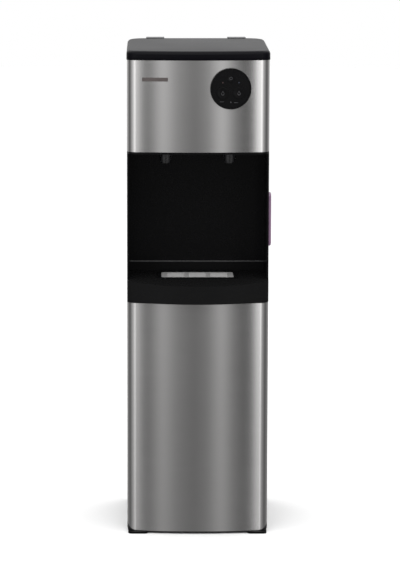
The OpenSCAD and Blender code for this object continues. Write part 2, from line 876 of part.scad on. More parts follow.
module refrigerant_pipes() {
    feed = evaporator_header(header_angles[0]);
    suction = evaporator_header(header_angles[1]);
    under_z = tank_shelf_z - 11;
    dome_z = comp_shelf_z + 148;
    drier_low = drier_z[0] - 16;
    color(copper) {
        pipe([[feed[0], feed[1], header_z0], [feed[0], feed[1], under_z],
              [drier_at[0], drier_at[1], under_z], [drier_at[0], drier_at[1], drier_z[1] + 8]],
              pipe_r);
        pipe([[suction[0], suction[1], header_z0], [suction[0], suction[1], under_z],
              [-60, suction[1], under_z], [-60, 60, under_z], [-60, 60, dome_z]], pipe_r);
        pipe([[-52, 92, dome_z], [-52, 92, vapour_at[1]], [vapour_at[0], 92, vapour_at[1]],
              [vapour_at[0], coil_y, vapour_at[1]], [vapour_at[0], coil_y, coil_z[1]],
              [-coil_half, coil_y, coil_z[1]]], pipe_r);
        pipe([[-coil_half, coil_y, coil_z[0]], [liquid_at[0], coil_y, coil_z[0]],
              [liquid_at[0], coil_y, drier_low], [liquid_at[0], drier_at[1], drier_low],
              [drier_at[0], drier_at[1], drier_low], [drier_at[0], drier_at[1], drier_z[0] - 8]], pipe_r);
    }
}

// ---- tanks and water circuit ----

// Closed sheet tank, open only through its two top necks
module tank(at, r, z, necks, neck_top) {
    t = 1;
    difference() {
        union() {
            rod_z(at, z, r);
            for (n = necks)
                rod_z(n, [z[1] - 1, neck_top], 7);
        }
        rod_z(at, [z[0] + t, z[1] - t], r - t);
        for (n = necks)
            rod_z(n, [z[1] - 2, neck_top + 1], hose_r);
    }
}

cold_z = [tank_shelf_z + 12, 895];
cold_necks = [cold_at, cold_at + [0, -30]];
hot_z = [tank_shelf_z + 10, 845];
hot_necks = [hot_at, hot_at + [-22, 0]];

module cold_tank() {
    color(steel) tank(cold_at, cold_r, cold_z, cold_necks, 914);
}

// Foam shell in two halves round the cold tank and its evaporator
module cold_tank_insulation() {
    inner = cold_r + 3 + pipe_r + 1;
    z = [tank_shelf_z, 907];
    color(foam_white)
    difference() {
        rod_z(cold_at, z, inner + 11);
        rod_z(cold_at, [cold_z[0], cold_z[1] + 0.2], inner);
        for (n = cold_necks)
            rod_z(n, [cold_z[1], z[1] + 1], 7.2);
        for (a = header_angles)
            rod_z(evaporator_header(a), [z[0] - 1, cold_z[0] + 1], 4);
        box(span(cold_at[0], 80), span(cold_at[1], 0.2), [z[0] - 1, z[1] + 1]);
    }
}

module hot_tank() {
    color(steel) {
        tank(hot_at, hot_r, hot_z, hot_necks, 872);
        rod_z(hot_port, [tank_shelf_z - 14, hot_z[0]], 5.5);
    }
}

module hot_tank_jacket() {
    z = [tank_shelf_z, 857];
    color(galvanised)
    difference() {
        rod_z(hot_at, z, hot_r + 10);
        rod_z(hot_at, [hot_z[0], hot_z[1] + 0.2], hot_r + 0.3);
        rod_z(hot_port, [z[0] - 1, hot_z[0] + 1], 6);
        for (n = hot_necks)
            rod_z(n, [hot_z[1], z[1] + 1], 7.2);
    }
}

module water_pump() {
    z0 = comp_shelf_z;
    color(painted_black) {
        round_block(span(pump_at[0], 30), span(pump_at[1], 26), [z0, z0 + 6], 6);
        rod_z(pump_at, [z0 + 6, z0 + 50], 20);
        rod_z(pump_at, [z0 + 50, z0 + 72], 24);
        rod_z(pump_at, [z0 + 72, z0 + 78], 7);
        rod_y([pump_at[0], inlet_z], [pump_at[1] + 20, pump_at[1] + 32], 6);
    }
}

module water_tubes() {
    over_z = 932;
    hot_over_z = 956;
    stub_z = alcove_z1 + 25;
    stub_y = spout_y + 34;
    low_z = 625;
    neck_z = 914;
    hot_neck_z = 872;
    feed_neck = hot_necks[1];
    cold_neck = cold_necks[1];
    color(clear_hose) {
        pipe([[pump_at[0], pump_at[1], comp_shelf_z + 78], [pump_at[0], pump_at[1], low_z],
              [riser_at[0], riser_at[1], low_z], [riser_at[0], riser_at[1], over_z],
              [cold_at[0], cold_at[1], over_z], [cold_at[0], cold_at[1], neck_z]], hose_r);
        pipe([[riser_at[0], riser_at[1], over_z - 20], [feed_neck[0], feed_neck[1], over_z - 20],
              [feed_neck[0], feed_neck[1], hot_neck_z]], hose_r - 1);
        pipe([[cold_neck[0], cold_neck[1], neck_z], [cold_neck[0], cold_neck[1], over_z],
              [cold_neck[0], 10, over_z], [spout_x, 10, over_z],
              [spout_x, stub_y + 14, over_z], [spout_x, stub_y + 14, stub_z],
              [spout_x, stub_y, stub_z]], hose_r);
        pipe([[hot_at[0], hot_at[1], hot_neck_z], [hot_at[0], hot_at[1], hot_over_z],
              [hot_at[0], stub_y + 24, hot_over_z], [-spout_x, stub_y + 24, hot_over_z],
              [-spout_x, stub_y + 24, stub_z], [-spout_x, stub_y, stub_z]], hose_r);
    }
}

module drain_pipe() {
    z = drain_at[1];
    r = 6;
    straight_y = hot_port[1] + 20;
    color(clear_hose) {
        pipe([[hot_port[0], hot_port[1], tank_shelf_z - 14], [hot_port[0], hot_port[1], z],
              [drain_at[0], hot_port[1], z], [drain_at[0], straight_y, z]], r);
        difference() {
            rod_y(drain_at, [straight_y, rear_reach + 16], r);
            rod_y(drain_at, [straight_y + 2, rear_reach + 17], 3.5);
        }
    }
}

// Screw cap over the end of the drain pipe
module drain_cap() {
    y = [rear_reach + 4, rear_reach + 20];
    ribs = 12;
    color(foam_white)
    difference() {
        union() {
            rod_y(drain_at, y, 10);
            for (i = [0 : ribs - 1])
                rod_y(drain_at + 10 * [cos(i * 360 / ribs), sin(i * 360 / ribs)], y, 1);
        }
        rod_y(drain_at, [y[0] - 1, rear_reach + 16.5], 6.05);
    }
}

module bottle_probe() {
    color(foam_white)
    translate([probe_at[0], probe_at[1], 0])
        difference() {
            rotate_extrude()
                polygon([[0, 60], [4, 60], [8, 70], [8, 420], [18, 424],
                    [18, 452], [8, 458], [8, 476], [0, 476]]);
            cylinder(h = 465, r = hose_r);
        }
}

// Clip on the rear wall of the bay that holds the probe upright
module probe_clip() {
    y = [probe_at[1] - 6, back_y - back_t - play - 2];
    x = span(probe_at[0], 12);
    color(moulded_black)
    for (z = [100, 380])
        difference() {
            box(x, y, [z, z + 14]);
            rod_z(probe_at, [z - 1, z + 15], 8.2);
            box(span(probe_at[0], 7), [y[0] - 1, probe_at[1]], [z - 1, z + 15]);
        }
}

module probe_hose() {
    color(clear_hose)
    pipe([[probe_at[0], probe_at[1], 476], [probe_at[0], probe_at[1], inlet_z],
          [pump_at[0], probe_at[1], inlet_z], [pump_at[0], pump_at[1] + 32, inlet_z]], hose_r);
}

// ---- electrics ----

module power_board() {
    x1 = in_x - 8;
    y = [-5, 100];
    z = [885, 995];
    color(board_green)
    union() {
        box([x1 - 1.6, x1], y, z);
        box([x1 - 30, x1 - 1], [10, 48], [z[0] + 10, z[0] + 48]);
        for (i = [0 : 2])
            box([x1 - 18, x1 - 1], [y[0] + 62, y[0] + 76], span(z[0] + 19 + i * 30, 11));
        rod_x([14, z[1] - 20], [x1 - 26, x1 - 1], 9);
        rod_x([38, z[1] - 20], [x1 - 22, x1 - 1], 7);
        for (py = [y[0] + 6, y[1] - 6])
            for (pz = [z[0] + 6, z[1] - 6])
                rod_x([py, pz], [x1 - 0.5, in_x], 3);
    }
}

// Plate with three rocker openings and the cheeks that carry the trunnions
module switch_plate() {
    y = [back_y, back_y + 2];
    cheek = 2.6;
    color(moulded_black)
    difference() {
        union() {
            box([rocker_x[0] - 18, rocker_x[2] + 18], y, span(rocker_z, 20));
            for (x = rocker_x)
                for (s = [-1, 1])
                    box(span(x + s * (6.5 + cheek / 2), cheek / 2),
                        [back_y - 6, y[0] + 1], span(rocker_z, 5));
        }
        for (x = rocker_x) {
            box([x - 6.5, x + 6.5], [y[0] - 10, y[1] + 1], span(rocker_z, 12));
            rod_x([back_y - 1.2, rocker_z], [x - 10, x + 10], 1.25);
        }
    }
}

// Rocker in its off position, on trunnions that run in the plate's cheeks
module rocker(x) {
    depth = 3;
    tip = 10 * tan(rocker_tilt);
    translate([x, back_y - 1.2, rocker_z])
        rotate([rocker_tilt, 0, 0]) {
            rotate([90, 0, 90])
                translate([0, 0, -6])
                    linear_extrude(12)
                        polygon([
                            [depth, 0], [depth + tip, 10], [tip, 10.4], [-depth, 5],
                            [-depth, -5], [tip, -10.4], [depth + tip, -10]
                        ]);
            rod_x([0, 0], [-8.8, 8.8], 1.2);
        }
}

module switch_hot() { color("#8c1d1d") rocker(rocker_x[0]); }
module switch_cold() { color("#1f3f7a") rocker(rocker_x[1]); }
module switch_light() { color("#c9c9c4") rocker(rocker_x[2]); }

// Gland for the mains lead, with its bore
module cord_gland() {
    bore_r = 3.8;
    color(moulded_black)
    difference() {
        union() {
            rod_y(gland_at, [back_y - 10, back_y + 1], 7.8);
            rod_y(gland_at, [back_y, back_y + 3], 11);
            rod_y(gland_at, [back_y + 3, back_y + 12], 8.5);
            rod_y(gland_at, [back_y - 6, back_y - back_t], 10);
        }
        rod_y(gland_at, [back_y - 11, back_y + 13], bore_r);
    }
}

// ---- assembly ----

base_pan();
front_feet();
rear_feet();
side_panel_left();
side_panel_right();
bay_liner();
compressor_shelf();
tank_shelf();
alcove_housing();
tray_housing();
drip_tray();
drip_grille();
door_skin();
door_liner();
door_hinge_pins();
door_magnet();
door_strike();
upper_front_panel();
panel_backing();
name_badge();
control_pod();
button_hot();
button_cold();
button_lock();
control_board();
spout_hot();
spout_cold();
valve_hot();
valve_cold();
side_light_lens();
side_light_board();
top_cover();
wall_spacers();
back_panel();
back_screws();
condenser();
condenser_brackets();
compressor();
compressor_grommets();
filter_drier();
refrigerant_pipes();
evaporator_coil();
cold_tank();
cold_tank_insulation();
hot_tank();
hot_tank_jacket();
water_pump();
water_tubes();
power_board();
switch_plate();
switch_hot();
switch_cold();
switch_light();
cord_gland();
drain_pipe();
drain_cap();
bottle_probe();
probe_clip();
probe_hose();
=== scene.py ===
import bpy
import bmesh
import json
import math
from mathutils import Matrix, Vector
from mathutils.geometry import delaunay_2d_cdt


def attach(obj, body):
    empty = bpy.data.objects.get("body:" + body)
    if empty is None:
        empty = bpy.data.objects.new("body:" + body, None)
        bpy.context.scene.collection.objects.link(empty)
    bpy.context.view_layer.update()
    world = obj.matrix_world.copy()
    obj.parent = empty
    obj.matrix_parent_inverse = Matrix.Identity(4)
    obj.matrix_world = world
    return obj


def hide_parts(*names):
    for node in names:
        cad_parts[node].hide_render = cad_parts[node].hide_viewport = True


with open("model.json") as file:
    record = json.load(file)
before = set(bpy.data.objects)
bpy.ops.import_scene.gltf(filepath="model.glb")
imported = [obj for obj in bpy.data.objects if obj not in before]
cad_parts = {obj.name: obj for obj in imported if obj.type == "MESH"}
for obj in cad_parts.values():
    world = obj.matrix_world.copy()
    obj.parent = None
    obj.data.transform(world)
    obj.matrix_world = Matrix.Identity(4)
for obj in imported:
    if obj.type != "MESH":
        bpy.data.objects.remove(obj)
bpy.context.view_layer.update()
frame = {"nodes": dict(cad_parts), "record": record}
nodes = frame["nodes"]
record = frame["record"]

# ---------- driving dimensions, in mm, the same as the CAD's ----------

MM = 0.001
HALF_W = 150                                    # half the width of the cabinet
REACH, REAR = 160, 150                          # origin to the steel front, and to the cabinet's back
BOW, CORNER = 850, 22                           # radii of the bowed front and of its corners
BOW_Y = BOW - REACH                             # centre of the bow
CORNER_X = HALF_W - CORNER                      # centre of a corner
CORNER_Y = BOW_Y - math.sqrt((BOW - CORNER) ** 2 - CORNER_X ** 2)
SKIN_T = 1.0                                    # thickness of the steel skins
DOOR_Z = (5.0, 498)
DOOR_END = -126                                 # y where the door's skin ends
DOOR_TOE = 20                                   # radius of the door's lower corners
PANEL_Z = (819, 1012)
PANEL_END = -118
POD_X, POD_Z, POD_HOLE = 67, 953, 43.2          # control pod, and the radius of its hole in the panel
LENS_Y, LENS_Z = -101, 671.5                    # middle of the side light
LENS_W, LENS_H, LENS_PROUD, LENS_SEAT = 22, 115, 6, 2.6
SPOUT_X, SPOUT_Y, SPOUT_Z = 68, -80, 788.5      # spouts, with the height of their tips
SCREW_X, SCREW_ROWS = 142, (60, 300, 540, 780, 1000)
COIL_Y, COIL_HALF, COIL_TOP, COIL_PITCH, COIL_ROWS = 164, 80, 900, 54, 16
UPSTAND_Y, UPSTAND_Z, UPSTAND_HALF = 1, 567, 145.8

# ---------- materials ----------

PALETTE = {}


def socket(bsdf, name, value):
    bsdf.inputs[name].default_value = value


def noise_node(tree, vector, scale, detail):
    node = tree.nodes.new("ShaderNodeTexNoise")
    node.inputs["Scale"].default_value = scale
    node.inputs["Detail"].default_value = detail
    tree.links.new(vector, node.inputs["Vector"])
    return node


def material(name, colour, rough, metal=0.0, level=0.5, vary=0.06, grain=60.0, bump=0.02,
             stretch=(1, 1, 1), rough_vary=0.08, coat=0.0, aniso=0.0, transmission=0.0, emission=0.0,
             ior=1.5):
    """Principled material whose colour, roughness and surface follow noise in the object's own space."""
    m = bpy.data.materials.new(name)
    m.use_nodes = True
    tree = m.node_tree
    link = tree.links.new
    bsdf = tree.nodes["Principled BSDF"]
    coord = tree.nodes.new("ShaderNodeTexCoord")
    mapping = tree.nodes.new("ShaderNodeMapping")
    mapping.inputs["Scale"].default_value = stretch
    link(coord.outputs["Object"], mapping.inputs["Vector"])
    fine = noise_node(tree, mapping.outputs["Vector"], grain, 6)
    fine.inputs["Roughness"].default_value = 0.6
    broad = noise_node(tree, coord.outputs["Object"], 5, 3)
    both = tree.nodes.new("ShaderNodeMix")
    both.inputs["Factor"].default_value = 0.3
    link(fine.outputs["Fac"], both.inputs["A"])
    link(broad.outputs["Fac"], both.inputs["B"])
    ramp = tree.nodes.new("ShaderNodeValToRGB")
    dark, light = ramp.color_ramp.elements
    dark.position, light.position = 0.3, 0.7
    dark.color = tuple(c * (1 - vary) for c in colour) + (1,)
    light.color = tuple(min(1, c * (1 + vary)) for c in colour) + (1,)
    link(both.outputs["Result"], ramp.inputs["Fac"])
    link(ramp.outputs["Color"], bsdf.inputs["Base Color"])
    spread = tree.nodes.new("ShaderNodeMapRange")
    spread.inputs["From Min"].default_value = 0.3
    spread.inputs["From Max"].default_value = 0.7
    spread.inputs["To Min"].default_value = max(0.02, rough - rough_vary)
    spread.inputs["To Max"].default_value = min(1, rough + rough_vary)
    link(both.outputs["Result"], spread.inputs["Value"])
    link(spread.outputs["Result"], bsdf.inputs["Roughness"])
    relief = tree.nodes.new("ShaderNodeBump")
    relief.inputs["Strength"].default_value = bump
    relief.inputs["Distance"].default_value = 0.0004
    link(fine.outputs["Fac"], relief.inputs["Height"])
    link(relief.outputs["Normal"], bsdf.inputs["Normal"])
    if aniso:
        tangent = tree.nodes.new("ShaderNodeTangent")
        tangent.direction_type = "RADIAL"
        tangent.axis = "Z"
        link(tangent.outputs["Tangent"], bsdf.inputs["Tangent"])
        socket(bsdf, "Anisotropic", aniso)
        socket(bsdf, "Anisotropic Rotation", 0.25)
    socket(bsdf, "Metallic", metal)
    socket(bsdf, "Specular IOR Level", level)
    socket(bsdf, "IOR", ior)
    socket(bsdf, "Coat Weight", coat)
    socket(bsdf, "Coat Roughness", 0.08)
    socket(bsdf, "Transmission Weight", transmission)
    if emission:
        socket(bsdf, "Emission Color", tuple(colour) + (1,))
        socket(bsdf, "Emission Strength", emission)
    PALETTE[name] = m
    return m


# bare and plated metal
material("brushed_steel", (0.60, 0.592, 0.588), 0.17, metal=1.0, vary=0.035, grain=1500, bump=0.02,
         stretch=(0.012, 0.012, 1), rough_vary=0.025, aniso=0.88)
material("grille_steel", (0.61, 0.605, 0.60), 0.5, metal=0.5, grain=500, bump=0.05, stretch=(0.03, 1, 1))
material("badge_steel", (0.082, 0.070, 0.068), 0.5, metal=0.3, level=0.3, grain=900, bump=0.2, vary=0.4)
material("galvanised", (0.58, 0.6, 0.61), 0.38, metal=1.0, vary=0.16, grain=70, bump=0.03, rough_vary=0.14)
material("copper", (0.78, 0.38, 0.22), 0.28, metal=1.0, vary=0.14, grain=60, bump=0.02)
material("tank_steel", (0.62, 0.62, 0.61), 0.25, metal=1.0, grain=300, stretch=(1, 1, 0.1), bump=0.03)
# black mouldings and paint
material("gloss_black", (0.0028, 0.0028, 0.0031), 0.24, level=0.11, grain=90, bump=0.01, rough_vary=0.03)
material("tray_black", (0.0068, 0.0068, 0.0070), 0.27, level=0.02, vary=0.02, grain=90, bump=0.01)
material("foot_black", (0.0028, 0.0028, 0.0030), 0.4, level=0.08, grain=400, bump=0.03)
material("spout_black", (0.010, 0.010, 0.011), 0.24, level=0.6, grain=90, bump=0.01)
material("bead_black", (0.018, 0.018, 0.019), 0.35, level=0.6, grain=90, bump=0.01)
material("satin_black", (0.008, 0.008, 0.009), 0.42, level=0.25, grain=900, bump=0.10)
material("painted_black", (0.014, 0.014, 0.015), 0.36, level=0.4, grain=700, bump=0.14)
material("rubber_black", (0.012, 0.012, 0.012), 0.7, level=0.3, grain=300, bump=0.12)
material("door_seal_rubber", (0.02, 0.02, 0.021), 0.6, level=0.3, grain=260, bump=0.08)
# other plastics
material("cover_grey", (0.0022, 0.0021, 0.0034), 0.32, level=0.07, grain=1100, bump=0.04)
material("spacer_grey", (0.13, 0.13, 0.135), 0.45, level=0.4, grain=900, bump=0.12)
material("lens_purple", (0.19, 0.11, 0.185), 0.2, level=0.5, grain=40, bump=0.01, coat=0.3, emission=0.03)
material("foam_white", (0.82, 0.8, 0.74), 0.9, level=0.2, grain=500, bump=0.5)
material("white_plastic", (0.78, 0.78, 0.75), 0.35, vary=0.03, grain=120, bump=0.02)
material("clear_hose", (0.72, 0.78, 0.8), 0.2, vary=0.03, grain=80, bump=0.01, transmission=0.6, ior=1.41)
material("board_green", (0.02, 0.13, 0.06), 0.35, vary=0.3, grain=240, bump=0.05)
material("rocker_red", (0.34, 0.012, 0.012), 0.25, grain=60, bump=0.01)
material("rocker_blue", (0.015, 0.05, 0.28), 0.25, grain=60, bump=0.01)
material("rocker_grey", (0.5, 0.5, 0.48), 0.3, grain=60, bump=0.01)
# printed marks
material("grey_ink", (0.036, 0.036, 0.039), 0.5, level=0.3, grain=200, bump=0.02)
material("red_ink", (0.034, 0.017, 0.016), 0.45, level=0.3, grain=200, bump=0.02)
material("blue_ink", (0.017, 0.021, 0.034), 0.45, level=0.3, grain=200, bump=0.02)

# ---------- shading of the carried-over nodes ----------

def tidy_group():
    """Welds split vertices and smooths everything but real edges."""
    g = bpy.data.node_groups.new("weld_and_smooth", "GeometryNodeTree")
    g.interface.new_socket("Geometry", in_out="INPUT", socket_type="NodeSocketGeometry")
    g.interface.new_socket("Geometry", in_out="OUTPUT", socket_type="NodeSocketGeometry")
    add, link = g.nodes.new, g.links.new
    start, end = add("NodeGroupInput"), add("NodeGroupOutput")
    weld = add("GeometryNodeMergeByDistance")
    weld.inputs["Distance"].default_value = 2e-6
    soft = add("GeometryNodeSetShadeSmooth")
    soft.domain = "FACE"
    hard = add("GeometryNodeSetShadeSmooth")
    hard.domain = "EDGE"
    hard.inputs["Shade Smooth"].default_value = False
    angle = add("GeometryNodeInputMeshEdgeAngle")
    over = add("FunctionNodeCompare")
    over.data_type = "FLOAT"
    over.operation = "GREATER_THAN"
    over.inputs["B"].default_value = math.radians(24)
    link(start.outputs[0], weld.inputs["Geometry"])
    link(weld.outputs["Geometry"], soft.inputs["Geometry"])
    link(soft.outputs["Geometry"], hard.inputs["Geometry"])
    link(angle.outputs["Unsigned Angle"], over.inputs["A"])
    link(over.outputs["Result"], hard.inputs["Selection"])
    link(hard.outputs["Geometry"], end.inputs[0])
    return g


def round_edges(obj, width):
    """Soft bevel, width in mm, on every real edge of the object."""
    b = obj.modifiers.new("edge", "BEVEL")
    b.width = width * MM
    b.segments = 2
    b.limit_method = "ANGLE"
    b.angle_limit = math.radians(40)
    b.harden_normals = True


# edge rounding, in mm, of the nodes that show
ROUND = {
    "door_skin": 0.35, "upper_front_panel": 0.35, "tray_housing": 0.9, "drip_tray": 0.5,
    "drip_grille": 0.25, "alcove_housing": 0.4, "control_pod": 0.5, "name_badge": 0.25,
    "front_feet": 1.0, "rear_feet": 0.8, "base_pan": 0.5, "door_liner": 0.8, "door_strike": 0.3,
    "side_panel_left": 0.25, "side_panel_right": 0.25, "bay_liner": 0.5, "wall_spacers": 0.7,
    "back_panel": 0.2, "condenser_brackets": 0.2, "cord_gland": 0.5, "switch_plate": 0.4,
    "switch_hot": 0.5, "switch_cold": 0.5, "switch_light": 0.5, "probe_clip": 0.4,
    "power_board": 0.2, "water_pump": 0.6, "compressor": 0.6, "valve_hot": 0.6, "valve_cold": 0.6,
}
# each node looks like its slot, but for two black mouldings of their own
LOOK = {s["node"]: s["material_slot"] for s in record["subparts"]}
LOOK.update(tray_housing="tray_black", front_feet="foot_black")
TIDY = tidy_group()
for name, obj in nodes.items():
    mesh = obj.data
    if "custom_normal" in mesh.attributes:
        mesh.attributes.remove(mesh.attributes["custom_normal"])
    mesh.materials.clear()
    mesh.materials.append(PALETTE[LOOK[name]])
    obj.modifiers.new("tidy", "NODES").node_group = TIDY
    if name in ROUND:
        round_edges(obj, ROUND[name])

# ---------- mesh helpers: all lengths in mm ----------

def add_piece(name, data, body, replaces=()):
    """Puts a mesh or curve in the scene as a piece that rides on a body."""
    obj = bpy.data.objects.new(name, data)
    bpy.context.scene.collection.objects.link(obj)
    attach(obj, body)
    if replaces:
        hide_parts(*replaces)
    return obj


def plain_mesh(name, verts, faces):
    """Closed mesh from points in mm, welded, with its faces turned outwards."""
    me = bpy.data.meshes.new(name)
    me.from_pydata([tuple(c * MM for c in v) for v in verts], [], faces)
    me.validate()
    bm = bmesh.new()
    bm.from_mesh(me)
    bmesh.ops.remove_doubles(bm, verts=bm.verts, dist=1e-6)
    bmesh.ops.recalc_face_normals(bm, faces=bm.faces)
    bm.to_mesh(me)
    bm.free()
    return me


def finish_mesh(name, verts, faces, look, body, sharp=35, bevel=0.0, replaces=()):
    me = plain_mesh(name, verts, faces)
    me.materials.append(PALETTE[look])
    for p in me.polygons:
        p.use_smooth = True
    me.set_sharp_from_angle(angle=math.radians(sharp))
    obj = add_piece(name, me, body, replaces)
    if bevel:
        round_edges(obj, bevel)
    return obj


def loft(rings, caps=True):
    """Skin over closed rings of the same point count, with a cap on each end."""
    n = len(rings[0])
    verts = [p for ring in rings for p in ring]
    faces = []
    for k in range(len(rings) - 1):
        for i in range(n):
            j = (i + 1) % n
            faces.append((k * n + i, k * n + j, (k + 1) * n + j, (k + 1) * n + i))
    if caps:
        faces.append(tuple(reversed(range(n))))
        faces.append(tuple((len(rings) - 1) * n + i for i in range(n)))
    return verts, faces


def circle(r, n):
    return [(r * math.cos(2 * math.pi * i / n), r * math.sin(2 * math.pi * i / n)) for i in range(n)]


def lathe(profile, to, segs=72, caps=True):
    """profile: (radius, height) pairs turned about Z, then placed by the matrix to."""
    rings = [[tuple(to @ Vector((x, y, z))) for x, y in circle(max(r, 1e-4), segs)] for r, z in profile]
    return loft(rings, caps)


def arc(cx, cy, r, a0, a1, n):
    angles = [math.radians(a0 + (a1 - a0) * i / n) for i in range(n + 1)]
    return [(cx + r * math.cos(a), cy + r * math.sin(a)) for a in angles]


def bowed_plan(half_w, reach, rear, front_r, rear_r, d):
    """Outline with a bowed front and round corners, inset by d: the CAD's rule, with more points."""
    hw, f, q = half_w - d, max(front_r - d, 1), max(rear_r - d, 1)
    cy = BOW - reach
    fx = hw - f
    fy = cy - math.sqrt((BOW - d - f) ** 2 - fx ** 2)
    a = math.degrees(math.asin(fx / (BOW - d - f)))
    ry = rear - d
    pts = arc(0, cy, BOW - d, 270 - a, 270 + a, 64)[:-1]
    pts += arc(fx, fy, f, 270 + a, 360, 14)
    pts += arc(hw - q, ry - q, q, 0, 90, 12)
    pts += arc(q - hw, ry - q, q, 90, 180, 12)
    pts += arc(-fx, fy, f, 180, 270 - a, 14)[:-1]
    return pts


def tube(name, points, radius, look, body, bend=0.0, res=8, replaces=()):
    """Round rod through points, with each corner rounded off from bend mm before it to bend mm after."""
    cu = bpy.data.curves.new(name, "CURVE")
    cu.dimensions = "3D"
    cu.bevel_depth = radius * MM
    cu.bevel_resolution = res // 2
    cu.use_fill_caps = True
    pts = [Vector(p) for p in points]
    path = [pts[0]]
    for before, here, after in zip(pts, pts[1:], pts[2:]):
        if bend:
            a = here + (before - here).normalized() * bend
            b = here + (after - here).normalized() * bend
            steps = [i / res for i in range(res + 1)]
            path += [a * (1 - t) ** 2 + here * 2 * t * (1 - t) + b * t ** 2 for t in steps]
        else:
            path.append(here)
    path.append(pts[-1])
    line = cu.splines.new("POLY")
    line.points.add(len(path) - 1)
    for p, c in zip(line.points, path):
        p.co = (c.x * MM, c.y * MM, c.z * MM, 1)
    line.use_smooth = True
    cu.materials.append(PALETTE[look])
    return add_piece(name, cu, body, replaces)


# ---------- brushed steel skins of the front ----------

BOW_A = math.asin(CORNER_X / (BOW - CORNER))    # the bow meets the corner at this angle
S_BOW = BOW * BOW_A                             # length along the front to there
S_SIDE = S_BOW + CORNER * (math.pi / 2 - BOW_A)  # and to the straight side


def front_point(s, d=0.0):
    """Point and outward normal, s mm along the front from its middle and d mm below its surface."""
    side, t = (1 if s >= 0 else -1), abs(s)
    if t <= S_SIDE:
        on_bow = t <= S_BOW
        a = t / BOW if on_bow else BOW_A + (t - S_BOW) / CORNER
        cx, cy, r = (0, BOW_Y, BOW) if on_bow else (CORNER_X, CORNER_Y, CORNER)
        n = (math.sin(a), -math.cos(a))
        p = (cx + r * n[0], cy + r * n[1])
    else:
        n = (1, 0)
        p = (HALF_W, CORNER_Y + t - S_SIDE)
    return (side * (p[0] - n[0] * d), p[1] - n[1] * d), (side * n[0], n[1])


def columns(y_end):
    """Places along the front, from one edge of a skin that ends at y_end to the other."""
    end = S_SIDE + y_end - CORNER_Y
    cols = [S_BOW * i / 48 for i in range(49)]
    cols += [S_BOW + (S_SIDE - S_BOW) * i / 16 for i in range(1, 17)]
    cols += [(S_SIDE + end) / 2, end]
    return [-c for c in reversed(cols[1:])] + cols


def steel_skin(name, node, flat, faces, body):
    """Closed sheet from a flat (s, z) mesh wrapped on the front, with exact normals."""
    n = len(flat)
    outer, inner, normal = [], [], []
    for s, z in flat:
        (x, y), (nx, ny) = front_point(s)
        (xi, yi), _ = front_point(s, SKIN_T)
        outer.append((x * MM, y * MM, z * MM))
        inner.append((xi * MM, yi * MM, z * MM))
        normal.append(Vector((nx, ny, 0)))
    edges = {(f[i], f[(i + 1) % len(f)]): None for f in faces for i in range(len(f))}
    rim = [(a, b) for a, b in edges if (b, a) not in edges]
    all_faces = [tuple(f) for f in faces] + [tuple(n + v for v in reversed(f)) for f in faces]
    all_faces += [(a, n + a, n + b, b) for a, b in rim]
    me = bpy.data.meshes.new(name)
    me.from_pydata(outer + inner, [], all_faces)
    loops = []
    for k, p in enumerate(me.polygons):
        p.use_smooth = True
        for v in p.vertices:
            if k < len(faces):
                loops.append(normal[v])
            elif k < 2 * len(faces):
                loops.append(-normal[v - n])
            else:
                loops.append(p.normal.copy())
    me.normals_split_custom_set(loops)
    me.materials.append(PALETTE["brushed_steel"])
    return add_piece(name, me, body, (node,))


def door_edge(s):
    """Height of the door's lower edge, s mm along the front: straight, with round corners."""
    (x, _), _ = front_point(s)
    over = abs(x) - (HALF_W - DOOR_TOE)
    if over <= 0:
        return DOOR_Z[0]
    return DOOR_Z[0] + DOOR_TOE * (1 - math.sqrt(max(0.0, 1 - (over / DOOR_TOE) ** 2)))


def door_steel():
    rows = 12
    cols = columns(DOOR_END)
    flat = []
    for s in cols:
        low = door_edge(s)
        flat += [(s, low + (DOOR_Z[1] - low) * r / rows) for r in range(rows + 1)]
    starts = [c * (rows + 1) + r for c in range(len(cols) - 1) for r in range(rows)]
    faces = [(a, a + rows + 1, a + rows + 2, a + 1) for a in starts]
    steel_skin("door_steel_skin", "door_skin", flat, faces, "door")


def upper_steel():
    """Control panel, triangulated round the hole of the control pod."""
    rows, hole_points, margin = 16, 120, 2
    middle = BOW * math.asin(POD_X / BOW)

    def off_hole(s, z):
        return math.hypot(s - middle, z - POD_Z) - POD_HOLE

    height = PANEL_Z[1] - PANEL_Z[0]
    flat = [(s, PANEL_Z[0] + height * r / rows) for s in columns(PANEL_END) for r in range(rows + 1)]
    flat = [p for p in flat if off_hole(*p) > margin]
    first = len(flat)
    flat += [(middle + x, POD_Z + y) for x, y in circle(POD_HOLE, hole_points)]
    edges = [(first + i, first + (i + 1) % hole_points) for i in range(hole_points)]
    pts, _, tris, _, _, _ = delaunay_2d_cdt([Vector(p) for p in flat], edges, [], 0, 1e-4)
    centres = [(sum(pts[i].x for i in t) / 3, sum(pts[i].y for i in t) / 3) for t in tris]
    tris = [t for t, c in zip(tris, centres) if off_hole(*c) > -0.05]
    steel_skin("upper_steel_skin", "upper_front_panel", [(p.x, p.y) for p in pts], tris, "cabinet")


door_steel()
upper_steel()

# ---------- top cover: soft-edged moulding with a gently sloping top ----------

TILT = 11 / 322                                 # the top falls 11 mm towards the front over its depth
COVER_TOP = 1041.9 - TILT * 155                 # height of the top's rim over the origin
COVER_EDGE, COVER_WALL, COVER_SKIRT, SOFT = 8, 3.2, 6, 0.6


def cover_ring(d, z, tilt=0.0):
    outline = bowed_plan(HALF_W + 1, REACH + 2, REAR + 10, CORNER + 1, 40, d)
    return [(x, y, z + tilt * y) for x, y in outline]


